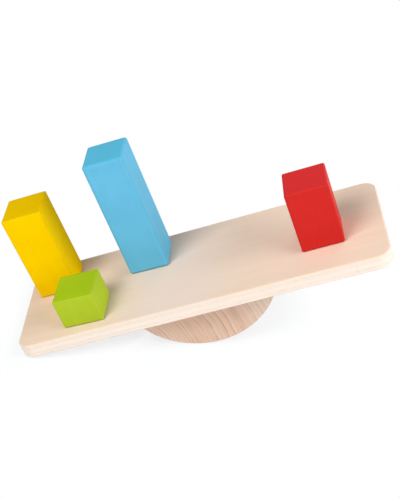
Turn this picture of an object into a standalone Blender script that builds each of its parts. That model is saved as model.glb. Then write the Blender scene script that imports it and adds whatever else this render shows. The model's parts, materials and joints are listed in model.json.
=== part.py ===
# Wooden balance game: a plywood plank on a half-round rocker, with four painted blocks standing on it.
# Metres, +Z up, the table at z = 0. The origin is the middle of the line where the rocker touches the table.
# The game lies as it settles with the heavier load on the left: the plank's left end is down on the table too.

import math

import bmesh
import bpy
from mathutils import Matrix

# Plank: veneers glued into a board, each crossing the grain of the next
PLANK_LENGTH = 0.250
PLANK_WIDTH = 0.087
PLANK_THICKNESS = 0.010
PLANK_CORNER_RADIUS = 0.0095
PLANK_EDGE_EASING = 0.001
GLUE_LINE = 0.0002
PLIES = (
    "bottom_face_ply",
    "lower_cross_ply",
    "core_ply",
    "upper_cross_ply",
    "top_face_ply",
)

# Rocker: a slice of half-round moulding, flat side up under the middle of the plank
ROCKER_RADIUS = 0.053
ROCKER_DROP = 0.0365
ROCKER_WIDTH = 0.055
ROCKER_EDGE_EASING = 0.0008

# Dowels: blind pegs that hold the rocker to the plank, drilled through the lower plies only
DOWEL_RADIUS = 0.004
DOWEL_LENGTH = 0.025
DOWEL_SPACING = 0.056
DOWEL_CHAMFER = 0.0008
DOWEL_CLEARANCE = 0.0002
PLIES_DRILLED = 3

# Blocks: square, and a whole number of steps high
BLOCK_SIDE = 0.028
BLOCK_STEP = 0.022
BLOCK_EDGE_EASING = 0.0012
REST_GAP = 0.0002

# Where each block stands: its gap to the plank's end, its middle from the plank's centre line, its turn
BLOCKS = {
    "yellow_block": {"steps": 3, "end": "left", "gap": 0.0094, "across": 0.0211, "turn": 0.0},
    "green_block": {"steps": 1, "end": "left", "gap": 0.0342, "across": -0.0215, "turn": -2.9},
    "blue_block": {"steps": 4, "end": "left", "gap": 0.0767, "across": 0.0202, "turn": -1.3},
    "red_block": {"steps": 2, "end": "right", "gap": 0.0265, "across": -0.0058, "turn": 0.2},
}

# Smoothness of round stretches
CORNER_SEGMENTS = 12
EASING_SEGMENTS = 3
ROCKER_SIDES = 160
DOWEL_SIDES = 32
SHARP_ANGLE = math.radians(40)

# Finishes: colour as red, green and blue out of 255, then roughness
FINISHES = {
    "face_veneer": ((243, 221, 202), 0.50),
    "cross_veneer": ((238, 221, 204), 0.60),
    "core_veneer": ((247, 233, 219), 0.55),
    "end_grain": ((221, 189, 166), 0.55),
    "dowel_wood": ((222, 190, 152), 0.65),
    "yellow_paint": ((250, 204, 0), 0.50),
    "green_paint": ((176, 201, 40), 0.50),
    "blue_paint": ((102, 190, 227), 0.50),
    "red_paint": ((212, 42, 38), 0.50),
}
PLY_FINISHES = {
    "bottom_face_ply": "face_veneer",
    "lower_cross_ply": "cross_veneer",
    "core_ply": "core_veneer",
    "upper_cross_ply": "cross_veneer",
    "top_face_ply": "face_veneer",
}

# Heights measured from the plank's underside, square to the plank
ROCKER_CENTRE_HEIGHT = ROCKER_RADIUS - ROCKER_DROP
PLY_THICKNESS = (PLANK_THICKNESS - GLUE_LINE * (len(PLIES) - 1)) / len(PLIES)
PLY_PITCH = PLY_THICKNESS + GLUE_LINE
DRILLED_TOP = PLIES_DRILLED * PLY_PITCH - GLUE_LINE
DOWEL_TOP = DRILLED_TOP - DOWEL_CLEARANCE
DOWEL_FOOT = DOWEL_TOP - DOWEL_LENGTH


def resting_tilt():
    # The rocker's round and the rounding of the plank's lower end edge share the table as a tangent
    reach = PLANK_LENGTH / 2 - PLANK_EDGE_EASING
    rise = ROCKER_CENTRE_HEIGHT - PLANK_EDGE_EASING
    slope = math.asin((ROCKER_RADIUS - PLANK_EDGE_EASING) / math.hypot(reach, rise))
    return slope - math.atan2(rise, reach)


def linear(channel):
    level = channel / 255
    return level / 12.92 if level <= 0.04045 else ((level + 0.055) / 1.055) ** 2.4


def make_finish(name):
    colour, roughness = FINISHES[name]
    finish = bpy.data.materials.new(name)
    finish.use_nodes = True
    shader = finish.node_tree.nodes["Principled BSDF"]
    shader.inputs["Base Color"].default_value = [linear(c) for c in colour] + [1.0]
    shader.inputs["Roughness"].default_value = roughness
    shader.inputs["Metallic"].default_value = 0.0
    return finish


def new_collection(name):
    collection = bpy.data.collections.new(name)
    bpy.context.scene.collection.children.link(collection)
    return collection


def new_object(name, shape, collection, parent):
    mesh = bpy.data.meshes.new(name)
    bmesh.ops.recalc_face_normals(shape, faces=shape.faces)
    shape.to_mesh(mesh)
    shape.free()
    piece = bpy.data.objects.new(name, mesh)
    collection.objects.link(piece)
    piece.parent = parent
    return piece


def box(size_x, size_y, size_z):
    # A box standing on its own origin
    shape = bmesh.new()
    to_size = Matrix.Diagonal((size_x, size_y, size_z, 1.0))
    bmesh.ops.create_cube(shape, size=1.0, matrix=Matrix.Translation((0, 0, size_z / 2)) @ to_size)
    return shape


def peg(radius, length, sides):
    # A cylinder standing on its own origin
    shape = bmesh.new()
    bmesh.ops.create_cone(
        shape,
        cap_ends=True,
        segments=sides,
        radius1=radius,
        radius2=radius,
        depth=length,
        matrix=Matrix.Translation((0, 0, length / 2)),
    )
    return shape


def ease_edges(piece, width, segments):
    bevel = piece.modifiers.new("eased edges", "BEVEL")
    bevel.width = width
    bevel.segments = segments
    bevel.limit_method = "ANGLE"
    bevel.angle_limit = SHARP_ANGLE


def finish_piece(piece, finish):
    piece.data.materials.append(finish)
    piece.data.shade_smooth()
    piece.data.set_sharp_from_angle(angle=SHARP_ANGLE)


def upright(edge):
    first, second = edge.verts
    return abs(first.co.z - second.co.z) > PLY_THICKNESS / 2


def round_edges(shape, edges, radius, segments):
    bmesh.ops.bevel(
        shape,
        geom=edges,
        offset=radius,
        offset_type="OFFSET",
        segments=segments,
        profile=0.5,
        affect="EDGES",
    )


def make_ply(name, collection, parent):
    # One veneer. Only the board's two outer faces have eased edges
    layer = PLIES.index(name)
    shape = box(PLANK_LENGTH, PLANK_WIDTH, PLY_THICKNESS)
    corners = [edge for edge in shape.edges if upright(edge)]
    round_edges(shape, corners, PLANK_CORNER_RADIUS, CORNER_SEGMENTS)
    outer_heights = {0: 0.0, len(PLIES) - 1: PLY_THICKNESS}
    if layer in outer_heights:
        outer = [
            edge
            for edge in shape.edges
            if all(abs(v.co.z - outer_heights[layer]) < GLUE_LINE for v in edge.verts)
        ]
        round_edges(shape, outer, PLANK_EDGE_EASING, EASING_SEGMENTS)
    ply = new_object(name, shape, collection, parent)
    ply.location.z = layer * PLY_PITCH - ROCKER_CENTRE_HEIGHT
    return ply


def make_rocker(collection, parent):
    # A round bar lying across the plank, sawn along the chord that is glued to the plank
    shape = peg(ROCKER_RADIUS, ROCKER_WIDTH, ROCKER_SIDES)
    lie_down = Matrix.Rotation(math.radians(-90), 4, "X") @ Matrix.Translation((0, 0, -ROCKER_WIDTH / 2))
    bmesh.ops.transform(shape, matrix=lie_down, verts=shape.verts)
    everything = shape.verts[:] + shape.edges[:] + shape.faces[:]
    sawn = bmesh.ops.bisect_plane(
        shape,
        geom=everything,
        plane_co=(0, 0, -ROCKER_CENTRE_HEIGHT - GLUE_LINE),
        plane_no=(0, 0, 1),
        clear_outer=True,
    )
    saw_line = [part for part in sawn["geom_cut"] if isinstance(part, bmesh.types.BMEdge)]
    bmesh.ops.holes_fill(shape, edges=saw_line)
    rocker = new_object("rocker", shape, collection, parent)
    ease_edges(rocker, ROCKER_EDGE_EASING, EASING_SEGMENTS)
    return rocker


def make_dowel(name, along, collection, parent):
    dowel = new_object(name, peg(DOWEL_RADIUS, DOWEL_LENGTH, DOWEL_SIDES), collection, parent)
    dowel.location = (along, 0, DOWEL_FOOT - ROCKER_CENTRE_HEIGHT)
    ease_edges(dowel, DOWEL_CHAMFER, 1)
    return dowel


def make_dowel_hole(name, along, collection, parent):
    # Reaches into the glue line above the last drilled ply, and past the dowel's foot
    foot = DOWEL_FOOT - DOWEL_CLEARANCE
    depth = DRILLED_TOP + GLUE_LINE / 2 - foot
    drill = new_object(name, peg(DOWEL_RADIUS + DOWEL_CLEARANCE, depth, DOWEL_SIDES), collection, parent)
    drill.location = (along, 0, foot - ROCKER_CENTRE_HEIGHT)
    drill.hide_render = True
    drill.display_type = "WIRE"
    return drill


def drill_hole(piece, drill):
    hole = piece.modifiers.new(drill.name, "BOOLEAN")
    hole.operation = "DIFFERENCE"
    hole.object = drill
    hole.solver = "EXACT"


def make_block(name, collection, parent):
    # The block's origin is the middle of its foot, on the line that it lifts along
    place = BLOCKS[name]
    shape = box(BLOCK_SIDE, BLOCK_SIDE, BLOCK_STEP * place["steps"])
    block = new_object(name, shape, collection, parent)
    ease_edges(block, BLOCK_EDGE_EASING, EASING_SEGMENTS)
    from_middle = PLANK_LENGTH / 2 - place["gap"] - BLOCK_SIDE / 2
    along = -from_middle if place["end"] == "left" else from_middle
    plank_top = PLANK_THICKNESS - ROCKER_CENTRE_HEIGHT
    block.location = (along, place["across"], plank_top + REST_GAP)
    block.rotation_euler.z = math.radians(place["turn"])
    return block


def main():
    for old in list(bpy.data.objects):
        bpy.data.objects.remove(old, do_unlink=True)
    game = new_collection("balance_game")
    cutters = new_collection("cutters")

    # Everything is placed from the centre of the rocker's round, which the game rolls about
    rocking_centre = bpy.data.objects.new("rocking_centre", None)
    game.objects.link(rocking_centre)
    rocking_centre.location.z = ROCKER_RADIUS
    rocking_centre.rotation_euler.y = -resting_tilt()

    finishes = {name: make_finish(name) for name in FINISHES}
    plies = [make_ply(name, game, rocking_centre) for name in PLIES]
    for ply in plies:
        finish_piece(ply, finishes[PLY_FINISHES[ply.name]])
    rocker = make_rocker(game, rocking_centre)
    finish_piece(rocker, finishes["end_grain"])

    for side, along in (("left", -DOWEL_SPACING / 2), ("right", DOWEL_SPACING / 2)):
        dowel = make_dowel(f"{side}_dowel", along, game, rocking_centre)
        finish_piece(dowel, finishes["dowel_wood"])
        drill = make_dowel_hole(f"{side}_dowel_hole", along, cutters, rocking_centre)
        for piece in plies[:PLIES_DRILLED] + [rocker]:
            drill_hole(piece, drill)

    for name in BLOCKS:
        block = make_block(name, game, rocking_centre)
        finish_piece(block, finishes[name.replace("_block", "_paint")])


main()
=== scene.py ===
import json
import math

import bmesh
import bpy
from mathutils import Matrix, Quaternion, Vector


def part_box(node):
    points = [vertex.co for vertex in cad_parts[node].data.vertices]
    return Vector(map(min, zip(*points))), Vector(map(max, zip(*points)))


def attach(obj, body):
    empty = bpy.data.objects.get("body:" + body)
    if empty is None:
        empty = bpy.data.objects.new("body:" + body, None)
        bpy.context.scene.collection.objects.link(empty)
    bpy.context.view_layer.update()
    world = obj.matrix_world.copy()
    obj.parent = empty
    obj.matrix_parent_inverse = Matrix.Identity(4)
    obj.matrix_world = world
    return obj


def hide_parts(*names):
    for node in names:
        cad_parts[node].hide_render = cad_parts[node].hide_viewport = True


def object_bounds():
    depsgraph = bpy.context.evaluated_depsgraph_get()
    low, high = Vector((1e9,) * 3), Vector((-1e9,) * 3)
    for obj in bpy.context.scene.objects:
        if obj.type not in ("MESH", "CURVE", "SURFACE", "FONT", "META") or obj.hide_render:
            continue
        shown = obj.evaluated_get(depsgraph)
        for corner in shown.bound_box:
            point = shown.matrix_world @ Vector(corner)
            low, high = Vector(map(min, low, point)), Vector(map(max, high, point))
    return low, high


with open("model.json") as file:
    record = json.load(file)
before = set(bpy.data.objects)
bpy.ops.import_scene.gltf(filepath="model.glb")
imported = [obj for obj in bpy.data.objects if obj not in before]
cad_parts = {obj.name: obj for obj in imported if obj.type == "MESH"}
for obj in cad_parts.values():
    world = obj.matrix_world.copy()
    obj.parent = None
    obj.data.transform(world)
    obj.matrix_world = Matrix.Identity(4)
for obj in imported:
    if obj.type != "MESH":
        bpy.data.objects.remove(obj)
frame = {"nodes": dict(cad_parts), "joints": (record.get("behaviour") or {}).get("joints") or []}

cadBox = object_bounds()

# The plank lies on a slope and the blocks lift square to it, so a lift's axis gives the slope.
# Board coordinates: x along the plank, y across it, z square to it, from the same origin
liftAxis = Vector(frame["joints"][0]["axis"])
slope = math.atan2(-liftAxis.x, liftAxis.z)
boardTurn = Matrix.Rotation(-slope, 4, "Y")
mm = 0.001
hair = 0.01 * mm  # heights closer than this are the same
sharpAngle, smoothAngle = math.radians(40), math.radians(35)


def boxOf(points):
    points = [tuple(p) for p in points]
    return Vector(map(min, zip(*points))), Vector(map(max, zip(*points)))


def boardBox(nodeName):
    back = boardTurn.inverted()
    return boxOf(back @ v.co for v in frame["nodes"][nodeName].data.vertices)


# Camera first
camera = {
    "place": (0.02245, -0.50802, 0.40943),
    "aim": (0.00341, 0.00161, 0.05714),
    "roll": -1.637,  # degrees
    "lens": 67.68,
    "sensor": 36,
    "clipStart": 0.01,
}


def addCamera():
    data = bpy.data.cameras.new("camera")
    data.lens = camera["lens"]
    data.sensor_width = camera["sensor"]
    data.clip_start = camera["clipStart"]
    eye = bpy.data.objects.new("camera", data)
    bpy.context.scene.collection.objects.link(eye)
    look = Vector(camera["aim"]) - Vector(camera["place"])
    roll = Quaternion((0, 0, 1), math.radians(camera["roll"]))
    eye.location = camera["place"]
    eye.rotation_mode = "QUATERNION"
    eye.rotation_quaternion = look.to_track_quat("-Z", "Y") @ roll
    bpy.context.scene.camera = eye


addCamera()
print("camera: lens", camera["lens"], "mm")


# Shader maths: a Wire is a socket that can be added, multiplied and compared
class Wire:
    def __init__(self, finish, socket):
        self.finish, self.socket = finish, socket

    def maths(self, operation, first, second=0.0):
        return self.finish.node("Math", {"operation": operation}, {0: first, 1: second})

    def __add__(self, other):
        return self.maths("ADD", self, other)

    def __sub__(self, other):
        return self.maths("SUBTRACT", self, other)

    def __rsub__(self, other):
        return self.maths("SUBTRACT", other, self)

    def __mul__(self, other):
        return self.maths("MULTIPLY", self, other)

    def __truediv__(self, other):
        return self.maths("DIVIDE", self, other)

    def __pow__(self, other):
        return self.maths("POWER", self, other)

    __radd__, __rmul__ = __add__, __mul__

    def fract(self):
        return self.maths("FRACT", self)

    def floor(self):
        return self.maths("FLOOR", self)

    def size(self):
        return self.maths("ABSOLUTE", self)

    def least(self, other):
        return self.maths("MINIMUM", self, other)

    def most(self, other):
        return self.maths("MAXIMUM", self, other)

    def ramp(self, low, high, soft=True):
        # 0 below low, 1 above high
        settings = {"interpolation_type": "SMOOTHSTEP" if soft else "LINEAR", "clamp": True}
        return self.finish.node("MapRange", settings, {"Value": self, "From Min": low, "From Max": high})


class Finish:
    def __init__(self, name, family="materials"):
        self.owner = getattr(bpy.data, family).new(name)  # a material, or the world
        self.owner.use_nodes = True
        self.tree = self.owner.node_tree
        self.tree.nodes.clear()

    def node(self, kind, settings=None, sockets=None, out=0):
        node = self.tree.nodes.new("ShaderNode" + kind)
        for key, value in (settings or {}).items():
            setattr(node, key, value)
        for key, value in (sockets or {}).items():
            if isinstance(value, Wire):
                self.tree.links.new(value.socket, node.inputs[key])
            else:
                node.inputs[key].default_value = value
        return Wire(self, node.outputs[out]) if node.outputs else None

    def place(self, turn, centre=(0, 0, 0)):
        # Object coordinates in a piece's own directions, in millimetres
        here = self.node("TexCoord", out="Object")
        sockets = {"Vector": here, "Location": centre, "Rotation": turn.to_euler(), "Scale": (mm, mm, mm)}
        return self.node("Mapping", {"vector_type": "TEXTURE"}, sockets)

    def axes(self, vector):
        parts = self.node("SeparateXYZ", None, {0: vector}).socket.node.outputs
        return [Wire(self, part) for part in parts]

    def vector(self, x, y, z):
        return self.node("CombineXYZ", None, {0: x, 1: y, 2: z})

    def moved(self, vector, shift):
        return self.node("VectorMath", {"operation": "ADD"}, {0: vector, 1: shift})

    def pattern(self, vector, look):
        # A noise of its own pace along each axis, and of a scale, detail and roughness
        paced = self.node("VectorMath", {"operation": "MULTIPLY"}, {0: vector, 1: look["pace"]})
        scale, detail, roughness = look["noise"]
        sockets = {"Vector": paced, "Scale": scale, "Detail": detail, "Roughness": roughness}
        return self.node("TexNoise", None, sockets)

    def blend(self, factor, first, second):
        settings = {"data_type": "RGBA", "blend_type": "MIX"}
        return self.node("Mix", settings, {0: factor, 6: colour(first), 7: colour(second)}, out=2)

    def mark(self, under, pattern, look):
        # Colours what is under a pattern where that is high
        return self.blend(pattern.ramp(*look["range"]) * look["strength"], under, look["colour"])

    def bump(self, height, depth):
        return self.node("Bump", None, {"Height": height, "Distance": depth, "Strength": 1.0})

    def surface(self, **sockets):
        names = {key: key.replace("_", " ").title().replace("Ior", "IOR") for key in sockets}
        shader = self.node("BsdfPrincipled", None, {names[key]: value for key, value in sockets.items()})
        self.output(shader)
        return self.owner

    def output(self, shader, kind="OutputMaterial"):
        self.node(kind, None, {"Surface": shader})


def colour(value):
    # red, green and blue out of 255 to a shader colour
    if isinstance(value, Wire):
        return value
    levels = [c / 255 for c in value]
    return [c / 12.92 if c <= 0.04045 else ((c + 0.055) / 1.055) ** 2.4 for c in levels] + [1]


def ringShade(phase, look, soft=True):
    # Wood darkens slowly through a ring and ends it fast; phase runs from 0 to 1 in each ring
    return phase.ramp(*look["rise"], soft) * (1 - phase.ramp(*look["fall"]))


# Modelling by operators
def clearSelection():
    if bpy.context.object and bpy.context.object.mode != "OBJECT":
        bpy.ops.object.mode_set(mode="OBJECT")
    bpy.ops.object.select_all(action="DESELECT")


def applyPlace():
    bpy.ops.object.transform_apply(location=True, rotation=True, scale=True)


def addBlank(name, size, centre):
    clearSelection()
    bpy.ops.mesh.primitive_cube_add(size=1, location=centre)
    piece = bpy.context.object
    piece.name = piece.data.name = name
    piece.scale = size
    applyPlace()
    return piece


def pickEdges(piece, wanted):
    bpy.ops.object.mode_set(mode="EDIT")
    bpy.ops.mesh.select_mode(type="EDGE")
    bpy.ops.mesh.select_all(action="DESELECT")
    shape = bmesh.from_edit_mesh(piece.data)
    for edge in shape.edges:
        edge.select_set(wanted(edge))
    shape.select_flush_mode()
    bmesh.update_edit_mesh(piece.data)


def roundPicked(radius, segments):
    bpy.ops.mesh.bevel(offset=radius, offset_type="OFFSET", segments=segments, profile=0.5, affect="EDGES")


def isSharp(edge):
    return edge.calc_face_angle(0) > sharpAngle


def finishPiece(piece, turn, body, nodeName, material):
    # Board coordinates to the row frame, with the place left in the mesh
    bpy.ops.object.mode_set(mode="OBJECT")
    piece.matrix_world = turn
    applyPlace()
    bpy.ops.object.shade_smooth_by_angle(angle=smoothAngle)
    piece.modifiers.new("flat faces stay flat", "WEIGHTED_NORMAL").keep_sharp = True
    bpy.ops.object.modifier_apply(modifier="flat faces stay flat")
    piece.data.materials.clear()
    piece.data.materials.append(material)
    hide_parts(nodeName)
    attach(piece, body)


# Dowel holes: through the lower veneers and into the rocker, round the CAD pegs
dowels = {
    "pegs": ("left_dowel", "right_dowel"),
    "sides": 48,
    "clearance": 0.2 * mm,  # round a peg and under its foot
    "headroom": 0.3 * mm,  # over its head, past the last drilled veneer
}


def drillHoles(piece):
    for name in dowels["pegs"]:
        low, high = boardBox(name)
        middle = (low + high) / 2
        foot, top = low.z - dowels["clearance"], high.z + dowels["headroom"]
        clearSelection()
        bpy.ops.mesh.primitive_cylinder_add(
            vertices=dowels["sides"],
            radius=(high.y - low.y) / 2 + dowels["clearance"],
            depth=top - foot,
            location=(middle.x, middle.y, (foot + top) / 2),
        )
        drill = bpy.context.object
        hole = piece.modifiers.new("dowel hole", "BOOLEAN")
        hole.operation, hole.solver, hole.object = "DIFFERENCE", "EXACT", drill
        bpy.context.view_layer.objects.active = piece
        bpy.ops.object.modifier_apply(modifier=hole.name)
        bpy.data.objects.remove(drill)
        piece.select_set(True)


# Plank: five veneers, each crossing the grain of the next
plank = {
    "cornerRadius": 9.5 * mm,
    "cornerSegments": 28,
    "easing": 1.12 * mm,
    "easingSegments": 6,
    "glueFill": 0.08 * mm,  # each veneer is this much thicker on a glued side, so the glue line is fine
    "crossRecess": 0.05 * mm,  # cross veneers shrink back a little at the cut edge
    "drilled": ("core_ply", "lower_cross_ply", "bottom_face_ply"),
}
veneers = {  # the shift gives each a pattern of its own
    "top_face_ply": {"slot": "face_veneer", "outer": 1, "cross": False, "look": "upper", "shift": 0},
    "upper_cross_ply": {"slot": "cross_veneer", "outer": 0, "cross": True, "look": "cross", "shift": 40},
    "core_ply": {"slot": "core_veneer", "outer": 0, "cross": False, "look": "inner", "shift": 90},
    "lower_cross_ply": {"slot": "cross_veneer", "outer": 0, "cross": True, "look": "cross", "shift": 130},
    "bottom_face_ply": {"slot": "face_veneer", "outer": -1, "cross": False, "look": "lower", "shift": 170},
}
veneerLook = {  # of the cut edges
    "upper": {"light": (240, 225, 210), "dark": (233, 215, 198), "roughness": 0.54},
    "lower": {"light": (245, 231, 218), "dark": (238, 221, 206), "roughness": 0.54},
    "inner": {"light": (242, 229, 218), "dark": (235, 220, 206), "roughness": 0.54},
    "cross": {"light": (239, 226, 212), "dark": (230, 214, 198), "roughness": 0.58},
}
faceLook = {  # of the varnished outer faces
    "light": (234, 211, 190),
    "dark": (230, 205, 182),
    "paintedLightTints": (  # painted light along the board: a greyer, bluer patch by the blue block is a painted reflection of it, and a paler, pinker patch left of the red block lifts its shadow and paints its reflected red; towards what colour, from its middle and how far, millimetres
        ((225, 208, 197), -15, 55),
        ((243, 219, 199), 65, 40),
    ),
    "drift": 0.6,  # how much of that painted light it takes
    "depth": (0.3, 1.1),  # the face fades into the cut edge between these depths, millimetres
}
grainLook = {  # each pattern's pace is along the grain, across it and through the veneer
    "figureWidth": 9,  # millimetres from one growth line to the next on the flat faces
    "slant": 4,  # the lines move on this fast with depth
    "wander": 4,  # and wander by this many widths
    "sway": {"pace": (0.1, 1, 1), "noise": (0.05, 2, 0.5)},
    "figure": {"rise": (0, 0.8), "fall": (0.84, 1), "strength": 0.4},
    "streaks": {"pace": (0.02, 1, 1), "noise": (0.28, 3, 0.6), "range": (0.28, 0.72), "strength": 0.6},
    "edgeStreaks": {"range": (0.3, 0.7), "strength": 0.3},  # the same streaks on a cross veneer
    "edgePores": {"pace": (0.02, 1, 1), "noise": (3.0, 2, 0.7), "range": (0.3, 0.7), "strength": 0.7},
    "fibres": {
        "pace": (0.02, 1, 1),
        "noise": (1.7, 4, 0.65),
        "range": (0.55, 0.8),
        "strength": 0.1,
        "colour": (201, 166, 137),
    },
    "flecks": {
        "pace": (0.35, 2.6, 2.6),
        "noise": (1.0, 1, 0.5),
        "range": (0.7, 0.78),
        "strength": 0.12,
        "colour": (201, 166, 137),
    },
    "cracks": {  # fine cracks that peeling leaves in a veneer, seen in its end grain
        "lean": 0.7,
        "pace": (1, 0.05, 0.2),  # these run across the grain first
        "noise": (1.3, 1, 0.5),
        "range": (0.66, 0.74),
        "strength": 0.22,
        "colour": (180, 145, 116),
    },
    "uneven": 0.1,  # how much rougher the fibres are
    "relief": 0.02 * mm,  # height of the fibres in the bump
    "gloss": 0.25,
}


def veneerTone(finish, here, isCross):
    # How dark the wood is, by its figure, or by pores where the cut edge is end grain
    grain = grainLook
    streaks, edgeStreaks, edgePores = grain["streaks"], grain["edgeStreaks"], grain["edgePores"]
    streak = finish.pattern(here, streaks)
    if isCross:
        pores = finish.pattern(here, edgePores).ramp(*edgePores["range"]) * edgePores["strength"]
        return pores + streak.ramp(*edgeStreaks["range"]) * edgeStreaks["strength"]
    along, across, through = finish.axes(here)
    sway = finish.pattern(here, grain["sway"])
    rings = ((across + through * grain["slant"]) / grain["figureWidth"] + sway * grain["wander"]).fract()
    figure = ringShade(rings, grain["figure"], False) * grain["figure"]["strength"]
    return figure + streak.ramp(*streaks["range"]) * streaks["strength"]


def veneerFinish(name, facts, middle):
    look, grain = veneerLook[facts["look"]], grainLook
    finish = Finish(name)
    x, y, z = finish.axes(finish.moved(finish.place(boardTurn), [facts["shift"]] * 3))
    along, across = (y, x) if facts["cross"] else (x, y)
    here = finish.vector(along, across, z)
    tone = veneerTone(finish, here, facts["cross"])
    wood = finish.blend(tone, look["light"], look["dark"])
    if facts["outer"]:
        fromMiddle = x - (middle.x / mm + facts["shift"])
        depth = (middle.z / mm + facts["shift"] - z) * facts["outer"]
        face = finish.blend(tone, faceLook["light"], faceLook["dark"])
        # painted light: a painted reflection of the blue block, and a painted lift of the red block's
        # shadow
        for drift, place, width in faceLook["paintedLightTints"]:
            nearby = 1 - (fromMiddle - place).size().ramp(0, width)
            face = finish.blend(nearby * faceLook["drift"], face, drift)
        wood = finish.blend(depth.ramp(*faceLook["depth"]), face, wood)
    fibres = finish.pattern(here, grain["fibres"])
    wood = finish.mark(wood, fibres, grain["fibres"])
    wood = finish.mark(wood, finish.pattern(here, grain["flecks"]), grain["flecks"])
    if facts["cross"]:
        leaning = finish.vector(across + z * grain["cracks"]["lean"], along, z)
        wood = finish.mark(wood, finish.pattern(leaning, grain["cracks"]), grain["cracks"])
    return finish.surface(
        base_color=wood,
        roughness=look["roughness"] + fibres * grain["uneven"],
        normal=finish.bump(fibres, grain["relief"]),
        specular_ior_level=grain["gloss"],
    )


def makeVeneer(name):
    facts = veneers[name]
    low, high = boardBox(name)
    low.z -= plank["glueFill"] if facts["outer"] >= 0 else 0
    high.z += plank["glueFill"] if facts["outer"] <= 0 else 0
    size, centre = high - low, (low + high) / 2
    if facts["cross"]:
        size.x -= 2 * plank["crossRecess"]
        size.y -= 2 * plank["crossRecess"]
    piece = addBlank(name + "_veneer", size, centre)
    pickEdges(piece, lambda edge: abs(edge.verts[0].co.z - edge.verts[1].co.z) > size.z / 2)
    roundPicked(plank["cornerRadius"], plank["cornerSegments"])
    middle = Vector((centre.x, centre.y, centre.z + facts["outer"] * size.z / 2))  # of the outer face
    if facts["outer"]:
        pickEdges(piece, lambda edge: all(abs(v.co.z - middle.z) < hair for v in edge.verts))
        roundPicked(plank["easing"], plank["easingSegments"])
    if name in plank["drilled"]:
        drillHoles(piece)
    material = veneerFinish(name + "_wood", facts, middle)
    finishPiece(piece, boardTurn, "seesaw", name, material)


for name in veneers:
    makeVeneer(name)
print("plank:", len(veneers), "veneers")


# Rocker: a slice of half-round moulding with its end grain to the front
rocker = {
    "radius": 52.95 * mm,  # a hair less than the CAD round, to stay inside its box
    "sides": 288,
    "easing": 0.8 * mm,
    "easingSegments": 5,
    "topFill": 0.15 * mm,  # closes most of the glue gap under the plank
    "cutRoom": 1.2 * mm,  # no facet ends closer under the saw cut, where the rounding needs room
}
lateWood, springWood = (181, 148, 127), (236, 210, 189)
ringLook = {  # each pattern's pace is along the plank, across it and square to it
    "heart": (-78, -52),  # the log's heart, from the centre of the round, millimetres
    "rings": {  # the plainest rings: distance from the heart, and how dark
        62.1: 0.22,
        65.8: 0.35,
        75.3: 0.3,
        77.9: 0.6,
        85.4: 0.62,
        90.1: 0.7,
        107.3: 0.42,
        112.9: 0.27,
        116.9: 0.27,
    },
    "inside": 1.8,  # a ring darkens over this width and ends over the next, millimetres
    "outside": 0.5,
    "paleWidth": 1.4,  # the spring wood outside it is paler, in step with how dark the ring is
    "paleness": 1.5,
    "broad": (94.3, 102),  # one ring fades out slowly between these distances
    "broadDark": 0.4,
    "fineSpacing": 2.4,  # weaker rings between, some of them weaker still
    "fine": {"rise": (0.2, 0.8), "fall": (0.86, 1.0)},
    "fineUneven": 0.7,
    "fineUntil": (66, 80),  # they fade between these distances, from one darkness to the other
    "fineDark": (0.6, 0.2),
    "sway": {"pace": (1, 0.1, 1), "noise": (0.035, 1, 0.5), "by": 2.5},  # the rings wander by millimetres
    "shake": {"pace": (1, 0.1, 1), "noise": (0.25, 2, 0.5), "by": 0.9},
    "patches": {  # the rings are darker in places
        "pace": (1, 0.04, 1),
        "noise": (0.11, 2, 0.5),
        "range": (0.32, 0.66),
        "least": 0.5,
        "more": 0.65,
    },
    "bands": {  # fine stripes beside the rings
        "pace": (1, 0.02, 0.06),
        "noise": (0.85, 2, 0.6),
        "range": (0.42, 0.75),
        "strength": 0.3,
        "colour": lateWood,
    },
    "pores": {
        "pace": (1, 0.04, 1),
        "noise": (2.8, 2, 0.6),
        "range": (0.56, 0.72),
        "strength": 0.22,
        "colour": (165, 129, 105),
    },
    "rays": {  # they fan out from the heart
        "fan": (0.4, 2.2),
        "pace": (0.12, 0.03, 1),
        "noise": (1.0, 1, 0.5),
        "range": (0.68, 0.76),
        "strength": 0.2,
        "colour": springWood,
    },
    "middle": (224, 191, 168),  # colour along the middle of the face, and towards its two sides
    "near": (234, 207, 183),
    "far": (230, 208, 191),
    "nearSide": (38, 66),  # distances from the heart between which the colour changes
    "farSide": (92, 118),
    "roughness": 0.55,
    "uneven": 0.1,  # how much rougher the pores are
    "relief": 0.03 * mm,
    "lateRelief": 0.4,  # how much of it the rings have
    "gloss": 0.25,
}


def ringMarks(reach, fine):
    # How dark the late wood is at a distance from the heart, and how pale the spring wood
    look = ringLook
    nearDark, farDark = look["fineDark"]
    late = fine * (nearDark - reach.ramp(*look["fineUntil"]) * (nearDark - farDark))
    spring = 0
    for distance, dark in look["rings"].items():
        out = reach - distance
        end = out.ramp(0, look["outside"])
        late = late.most(out.ramp(-look["inside"], 0) * (1 - end) * dark)
        pale = end * (1 - out.ramp(look["outside"], look["paleWidth"]))
        spring = spring + pale * dark * look["paleness"]
    start, stop = look["broad"]
    broad = reach.ramp(start, start + look["outside"]) * (1 - reach.ramp(start, stop))
    return late.most(broad * look["broadDark"]), spring


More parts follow.
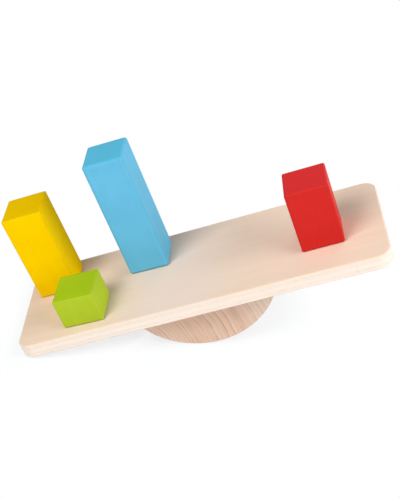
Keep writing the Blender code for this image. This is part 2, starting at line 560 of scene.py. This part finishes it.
def endGrainFinish(centre):
    look = ringLook
    finish = Finish("rocker_end_grain")
    here = finish.place(boardTurn, boardTurn @ centre)
    x, y, z = finish.axes(here)
    dx, dz = x - look["heart"][0], z - look["heart"][1]
    reach = (dx * dx + dz * dz) ** 0.5
    for wobble in (look["sway"], look["shake"]):
        reach = reach + (finish.pattern(here, wobble) - 0.5) * wobble["by"]
    count = reach / look["fineSpacing"]
    odd = finish.node("TexWhiteNoise", {"noise_dimensions": "1D"}, {"W": count.floor()})
    fine = ringShade(count.fract(), look["fine"]) * (odd * look["fineUneven"] + (1 - look["fineUneven"]))
    late, spring = ringMarks(reach, fine)
    patches = look["patches"]
    patchy = finish.pattern(here, patches).ramp(*patches["range"])
    late = late * (patchy * patches["more"] + patches["least"])
    wood = finish.blend(reach.ramp(*look["nearSide"]), look["near"], look["middle"])
    wood = finish.blend(reach.ramp(*look["farSide"]), wood, look["far"])
    wood = finish.blend(spring, wood, springWood)
    wood = finish.blend(late, wood, lateWood)
    bands = finish.pattern(finish.vector(reach, y, z), look["bands"])
    wood = finish.mark(wood, bands, look["bands"])
    pores = finish.pattern(here, look["pores"])
    wood = finish.mark(wood, pores, look["pores"])
    fanX, fanZ = look["rays"]["fan"]
    rays = finish.pattern(finish.vector(reach, y, dz * fanZ - dx * fanX), look["rays"])
    wood = finish.mark(wood, rays, look["rays"])
    return finish.surface(
        base_color=wood,
        roughness=look["roughness"] + pores * look["uneven"],
        normal=finish.bump(pores + late * look["lateRelief"], look["relief"]),
        specular_ior_level=look["gloss"],
    )


def makeRocker():
    low, high = boardBox("rocker")
    middle = (low + high) / 2
    centre = Vector((middle.x, middle.y, low.z + rocker["radius"]))
    clearSelection()
    bpy.ops.mesh.primitive_cylinder_add(
        vertices=rocker["sides"],
        radius=rocker["radius"],
        depth=high.y - low.y,
        location=centre,
        rotation=(math.pi / 2, 0, 0),
    )
    piece = bpy.context.object
    piece.name = piece.data.name = "rocker_half_round"
    applyPlace()
    bpy.ops.object.mode_set(mode="EDIT")
    bpy.ops.mesh.select_all(action="SELECT")
    sawCut = Vector((centre.x, centre.y, high.z + rocker["topFill"]))
    bpy.ops.mesh.bisect(plane_co=sawCut, plane_no=(0, 0, 1), use_fill=True, clear_outer=True)

    def endsByCut(edge):
        first, second = [v.co for v in edge.verts]
        under = sawCut.z - max(first.z, second.z)
        return abs(first.y - second.y) > rocker["cutRoom"] and hair < under < rocker["cutRoom"]

    pickEdges(piece, endsByCut)
    bpy.ops.mesh.dissolve_edges()  # joins a short facet to the next
    pickEdges(piece, isSharp)
    roundPicked(rocker["easing"], rocker["easingSegments"])
    drillHoles(piece)
    finishPiece(piece, boardTurn, "seesaw", "rocker", endGrainFinish(centre))


makeRocker()
print("rocker: radius", rocker["radius"], "m")


# Blocks: square, painted all over, each on the body of its own name
blocks = {
    "easingSegments": 6,
    "sideLean": 0.1,  # a face whose normal rises less than this is a side
}
paints = {  # the ends are end grain, which takes the paint a little differently, and their colour also holds painted light and shade: each block's top is painted lighter or darker to the light it shows
    "yellow": {
        "easing": 1.32 * mm,  # of all edges, sanded by hand and so not quite the same on each block
        "sides": (246, 201, 0),
        "endsWithPaintedLight": (235, 192, 2),
        "heart": (31, -12),  # of the log that the block was sawn from, millimetres from its middle
        "gloss": 0.003,
    },
    "green": {
        "easing": 1.15 * mm,
        "sides": (172, 195, 42),
        "endsWithPaintedLight": (163, 193, 27),
        "heart": (-26, 22),
        "gloss": 0.05,
    },
    "blue": {
        "easing": 1.9 * mm,
        "sides": (100, 183, 218),
        "endsWithPaintedLight": (87, 185, 217),
        "heart": (20, 34),
        "gloss": 0.05,
    },
    "red": {
        "easing": 1.2 * mm,
        "sides": (203, 40, 36),
        "endsWithPaintedLight": (212, 43, 43),
        "heart": (-30, -18),
        "gloss": 0.05,
    },
}
deepPaint = (0, 0, 0)  # a thicker coat goes towards this
paintLook = {  # each pattern's pace is along the block's two sides and up it
    "roughness": 0.46,
    "uneven": 0.08,  # how much rougher the grain under the paint makes it
    "cloud": {  # the coat is thicker in places
        "pace": (1, 1, 1),
        "noise": (0.04, 2, 0.5),
        "range": (0.3, 0.7),
        "strength": 0.06,
        "colour": deepPaint,
    },
    "grain": 0.028,  # how much the wood's grain shows in the coat's colour
    "fibres": {"pace": (1, 1, 0.04), "noise": (1.1, 3, 0.6), "range": (0.42, 0.68)},
    "ringSpacing": 2.4,  # the wood's rings swell a little under the paint
    "ringWander": 3,
    "sway": {"pace": (1, 1, 0.1), "noise": (0.06, 2, 0.5)},
    "swell": {"rise": (0, 0.8), "fall": (0.85, 1)},
    "relief": 0.02 * mm,
    "swellRelief": 0.5,  # how much of it the rings have
    "paintedEdgeShade": 0.06,  # how much darker the coat is painted along the edges, a painted shade that damps the light the rounded edges catch
    "paintedEdgeShadeWidth": (0.2, 1.8),  # millimetres in from an edge
    "rubbed": 0.012,  # how much of the bare wood shows through on the rubbed edges
    "rubbedWidth": (0.7, 1.7),
    "rub": {"pace": (1, 1, 1), "noise": (0.3, 3, 0.7), "by": 1.2},  # and how unevenly, millimetres
    "bare": (226, 196, 164),
    "endWidth": 0.4,  # the sides' colour goes over to the ends' this far about the edge
}


def paintFinish(name, turn, foot, half, height):
    look, facts = paintLook, paints[name]
    finish = Finish(name + "_paint_coat")
    here = finish.place(turn, foot)
    x, y, z = finish.axes(here)
    # The distance in from the nearest edge is the middle one of the distances to the faces
    inX, inY = half / mm - x.size(), half / mm - y.size()
    inZ = z.least(height / mm - z)
    inEdge = inX.most(inY).least(inX.least(inY).most(inZ))
    onEnd = (inX.least(inY) - inZ).ramp(-look["endWidth"], look["endWidth"])
    # The wood under the paint
    fibres = finish.pattern(here, look["fibres"])
    dx, dy = x - facts["heart"][0], y - facts["heart"][1]
    sway = finish.pattern(here, look["sway"])
    rings = ((dx * dx + dy * dy) ** 0.5 / look["ringSpacing"] + sway * look["ringWander"]).fract()
    swell = ringShade(rings, look["swell"])
    grain = fibres.ramp(*look["fibres"]["range"]) * (1 - onEnd) + swell * onEnd
    # The coat
    # the ends take a colour of their own: end grain, and painted light and shade on the tops
    paint = finish.blend(onEnd, facts["sides"], facts["endsWithPaintedLight"])
    paint = finish.mark(paint, finish.pattern(here, look["cloud"]), look["cloud"])
    paint = finish.blend(grain * look["grain"], paint, deepPaint)
    # painted shade along the edges, against the highlight that the rounding catches
    paintedEdgeShade = 1 - inEdge.ramp(*look["paintedEdgeShadeWidth"])
    paint = finish.blend(paintedEdgeShade * look["paintedEdgeShade"], paint, deepPaint)
    rub = finish.pattern(here, look["rub"]) * look["rub"]["by"]
    worn = 1 - (inEdge + rub).ramp(*look["rubbedWidth"])
    paint = finish.blend(worn * look["rubbed"], paint, look["bare"])
    return finish.surface(
        base_color=paint,
        roughness=look["roughness"] + fibres * look["uneven"],
        normal=finish.bump(fibres + swell * look["swellRelief"], look["relief"]),
        specular_ior_level=facts["gloss"],
    )


def blockTurn(nodeName):
    # How far the block is turned on the plank: four sides a quarter turn apart, weighed by their areas
    back = boardTurn.inverted().to_3x3()
    sine = cosine = 0
    for face in frame["nodes"][nodeName].data.polygons:
        normal = back @ face.normal
        if abs(normal.z) < blocks["sideLean"]:
            angle = 4 * math.atan2(normal.y, normal.x)
            sine += face.area * math.sin(angle)
            cosine += face.area * math.cos(angle)
    return Matrix.Rotation(math.atan2(sine, cosine) / 4, 4, "Z")


def makeBlock(name):
    nodeName = name + "_block"
    turn = boardTurn @ blockTurn(nodeName)
    back = turn.inverted()
    low, high = boxOf(back @ v.co for v in frame["nodes"][nodeName].data.vertices)
    size, centre = high - low, (low + high) / 2
    piece = addBlank(name + "_painted_block", size, centre)
    pickEdges(piece, lambda edge: True)
    roundPicked(paints[name]["easing"], blocks["easingSegments"])
    foot = turn @ Vector((centre.x, centre.y, low.z))
    material = paintFinish(name, turn, foot, size.x / 2, size.z)
    finishPiece(piece, turn, name, nodeName, material)


for name in paints:
    makeBlock(name)
print("blocks:", ", ".join(paints))


# Dowels: the CAD pegs stay, hidden in their holes, with a wood of their own
dowelLook = {
    "light": (228, 198, 160),
    "grain": {
        "pace": (1, 1, 0.04),
        "noise": (1.4, 3, 0.6),
        "range": (0.35, 0.7),
        "strength": 1,
        "colour": (204, 168, 128),
    },
    "roughness": 0.6,
    "uneven": 0.1,
    "relief": 0.03 * mm,
}


def dowelFinish():
    look = dowelLook
    finish = Finish("dowel_wood_grain")
    grain = finish.pattern(finish.place(boardTurn), look["grain"])
    return finish.surface(
        base_color=finish.mark(look["light"], grain, look["grain"]),
        roughness=look["roughness"] + grain * look["uneven"],
        normal=finish.bump(grain, look["relief"]),
    )


dowelWood = dowelFinish()
for name in dowels["pegs"]:
    for place in frame["nodes"][name].material_slots:
        place.material = dowelWood
print("dowels:", len(dowels["pegs"]))


# Floor: white paper that keeps a faint cool shadow close to the game
floor = {
    "side": 6.0,
    "under": 0.1 * mm,  # just clear of the game
    "paper": (239, 240, 242),
    "shadow": (230, 243, 254),
    "shade": 0.24,  # how much of the shadow shows under the rocker and the plank's low end
    "rockerFrom": -20,  # where the rocker starts to count, millimetres from the line it stands on
    "lowEnd": 75,  # millimetres of the low end that count
    "drawBack": 0.36,  # its shadow draws back under the plank as that rises, millimetres in one
    "rockerFade": 36,  # millimetres out from them, over which the shadow fades
    "endFade": 18,
}
white = (1, 1, 1, 1)


def seenRay(finish):
    # 1 on rays from the camera, and on those that a gloss or glass sends on
    path = finish.node("LightPath").socket.node.outputs
    seen = [Wire(finish, path[ray]) for ray in ("Is Camera Ray", "Is Glossy Ray", "Is Transmission Ray")]
    return seen[0].most(seen[1]).most(seen[2])


def nearBox(x, y, low, high, fade):
    # 1 over a box on the floor, fading to 0 around it
    outX = (x - high.x).most(low.x - x).most(0)
    outY = (y - high.y).most(low.y - y).most(0)
    return 1 - ((outX * outX + outY * outY) ** 0.5).ramp(0, fade)


def makeFloor():
    clearSelection()
    bpy.ops.mesh.primitive_plane_add(size=floor["side"], location=(0, 0, cadBox[0][2] - floor["under"]))
    piece = bpy.context.object
    piece.name = "floor"
    finish = Finish("white_paper")
    x, y, z = finish.axes(finish.place(Matrix()))
    rockerLow, rockerHigh = [Vector(corner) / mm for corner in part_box("rocker")]
    rockerLow.x = floor["rockerFrom"]
    endLow, endHigh = [Vector(corner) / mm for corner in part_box("bottom_face_ply")]
    endHigh.x = endLow.x + floor["lowEnd"]
    byRocker = nearBox(x, y, rockerLow, rockerHigh, floor["rockerFade"])
    lean = (x - endLow.x) * floor["drawBack"]
    near = byRocker.most(nearBox(x, y - lean, endLow, endHigh, floor["endFade"]))
    paper = finish.node("BsdfDiffuse", None, {"Color": colour(floor["paper"])})
    shadow = finish.node("BsdfDiffuse", None, {"Color": colour(floor["shadow"])})
    glow = finish.node("Emission", None, {"Color": white, "Strength": 1})
    shown = finish.node("MixShader", None, {0: near * floor["shade"], 1: glow, 2: shadow})
    finish.output(finish.node("MixShader", None, {0: seenRay(finish), 1: paper, 2: shown}))
    piece.data.materials.append(finish.owner)


makeFloor()
print("floor: side", floor["side"], "m")


# Light: large soft lamps, by turn from the front (left is negative), height angle, distance, side and watts
lamps = {
    "left": {"turn": -48.5, "rise": 42.5, "away": 1.2, "side": 0.67, "watts": 11.46},
    "right": {"turn": 64, "rise": 32.5, "away": 1.2, "side": 1.0, "watts": 14.08},
    "back": {"turn": 152, "rise": 34, "away": 1.2, "side": 1.0, "watts": 4.27},
}
sky = {"light": 0.061, "seen": 1.0}  # strength on the game, and as the white behind it
lampAim = Vector((0, 0, 0.05))


def addLamp(name):
    facts = lamps[name]
    data = bpy.data.lights.new(name, "AREA")
    data.shape = "SQUARE"
    data.size = facts["side"]
    data.energy = facts["watts"]
    lamp = bpy.data.objects.new(name, data)
    bpy.context.scene.collection.objects.link(lamp)
    turn, rise = math.radians(facts["turn"]), math.radians(facts["rise"])
    out = Vector((math.sin(turn) * math.cos(rise), -math.cos(turn) * math.cos(rise), math.sin(rise)))
    lamp.location = lampAim + out * facts["away"]
    lamp.rotation_mode = "QUATERNION"
    lamp.rotation_quaternion = (-out).to_track_quat("-Z", "Y")


def addSky():
    finish = Finish("studio", "worlds")
    light = finish.node("Background", None, {"Color": white, "Strength": sky["light"]})
    seen = finish.node("Background", None, {"Color": white, "Strength": sky["seen"]})
    mixed = finish.node("MixShader", None, {0: seenRay(finish), 1: light, 2: seen})
    finish.output(mixed, "OutputWorld")
    bpy.context.scene.world = finish.owner


for name in lamps:
    addLamp(name)
addSky()
bpy.context.scene.view_settings.view_transform = "Standard"
print("light:", len(lamps), "lamps and the sky")
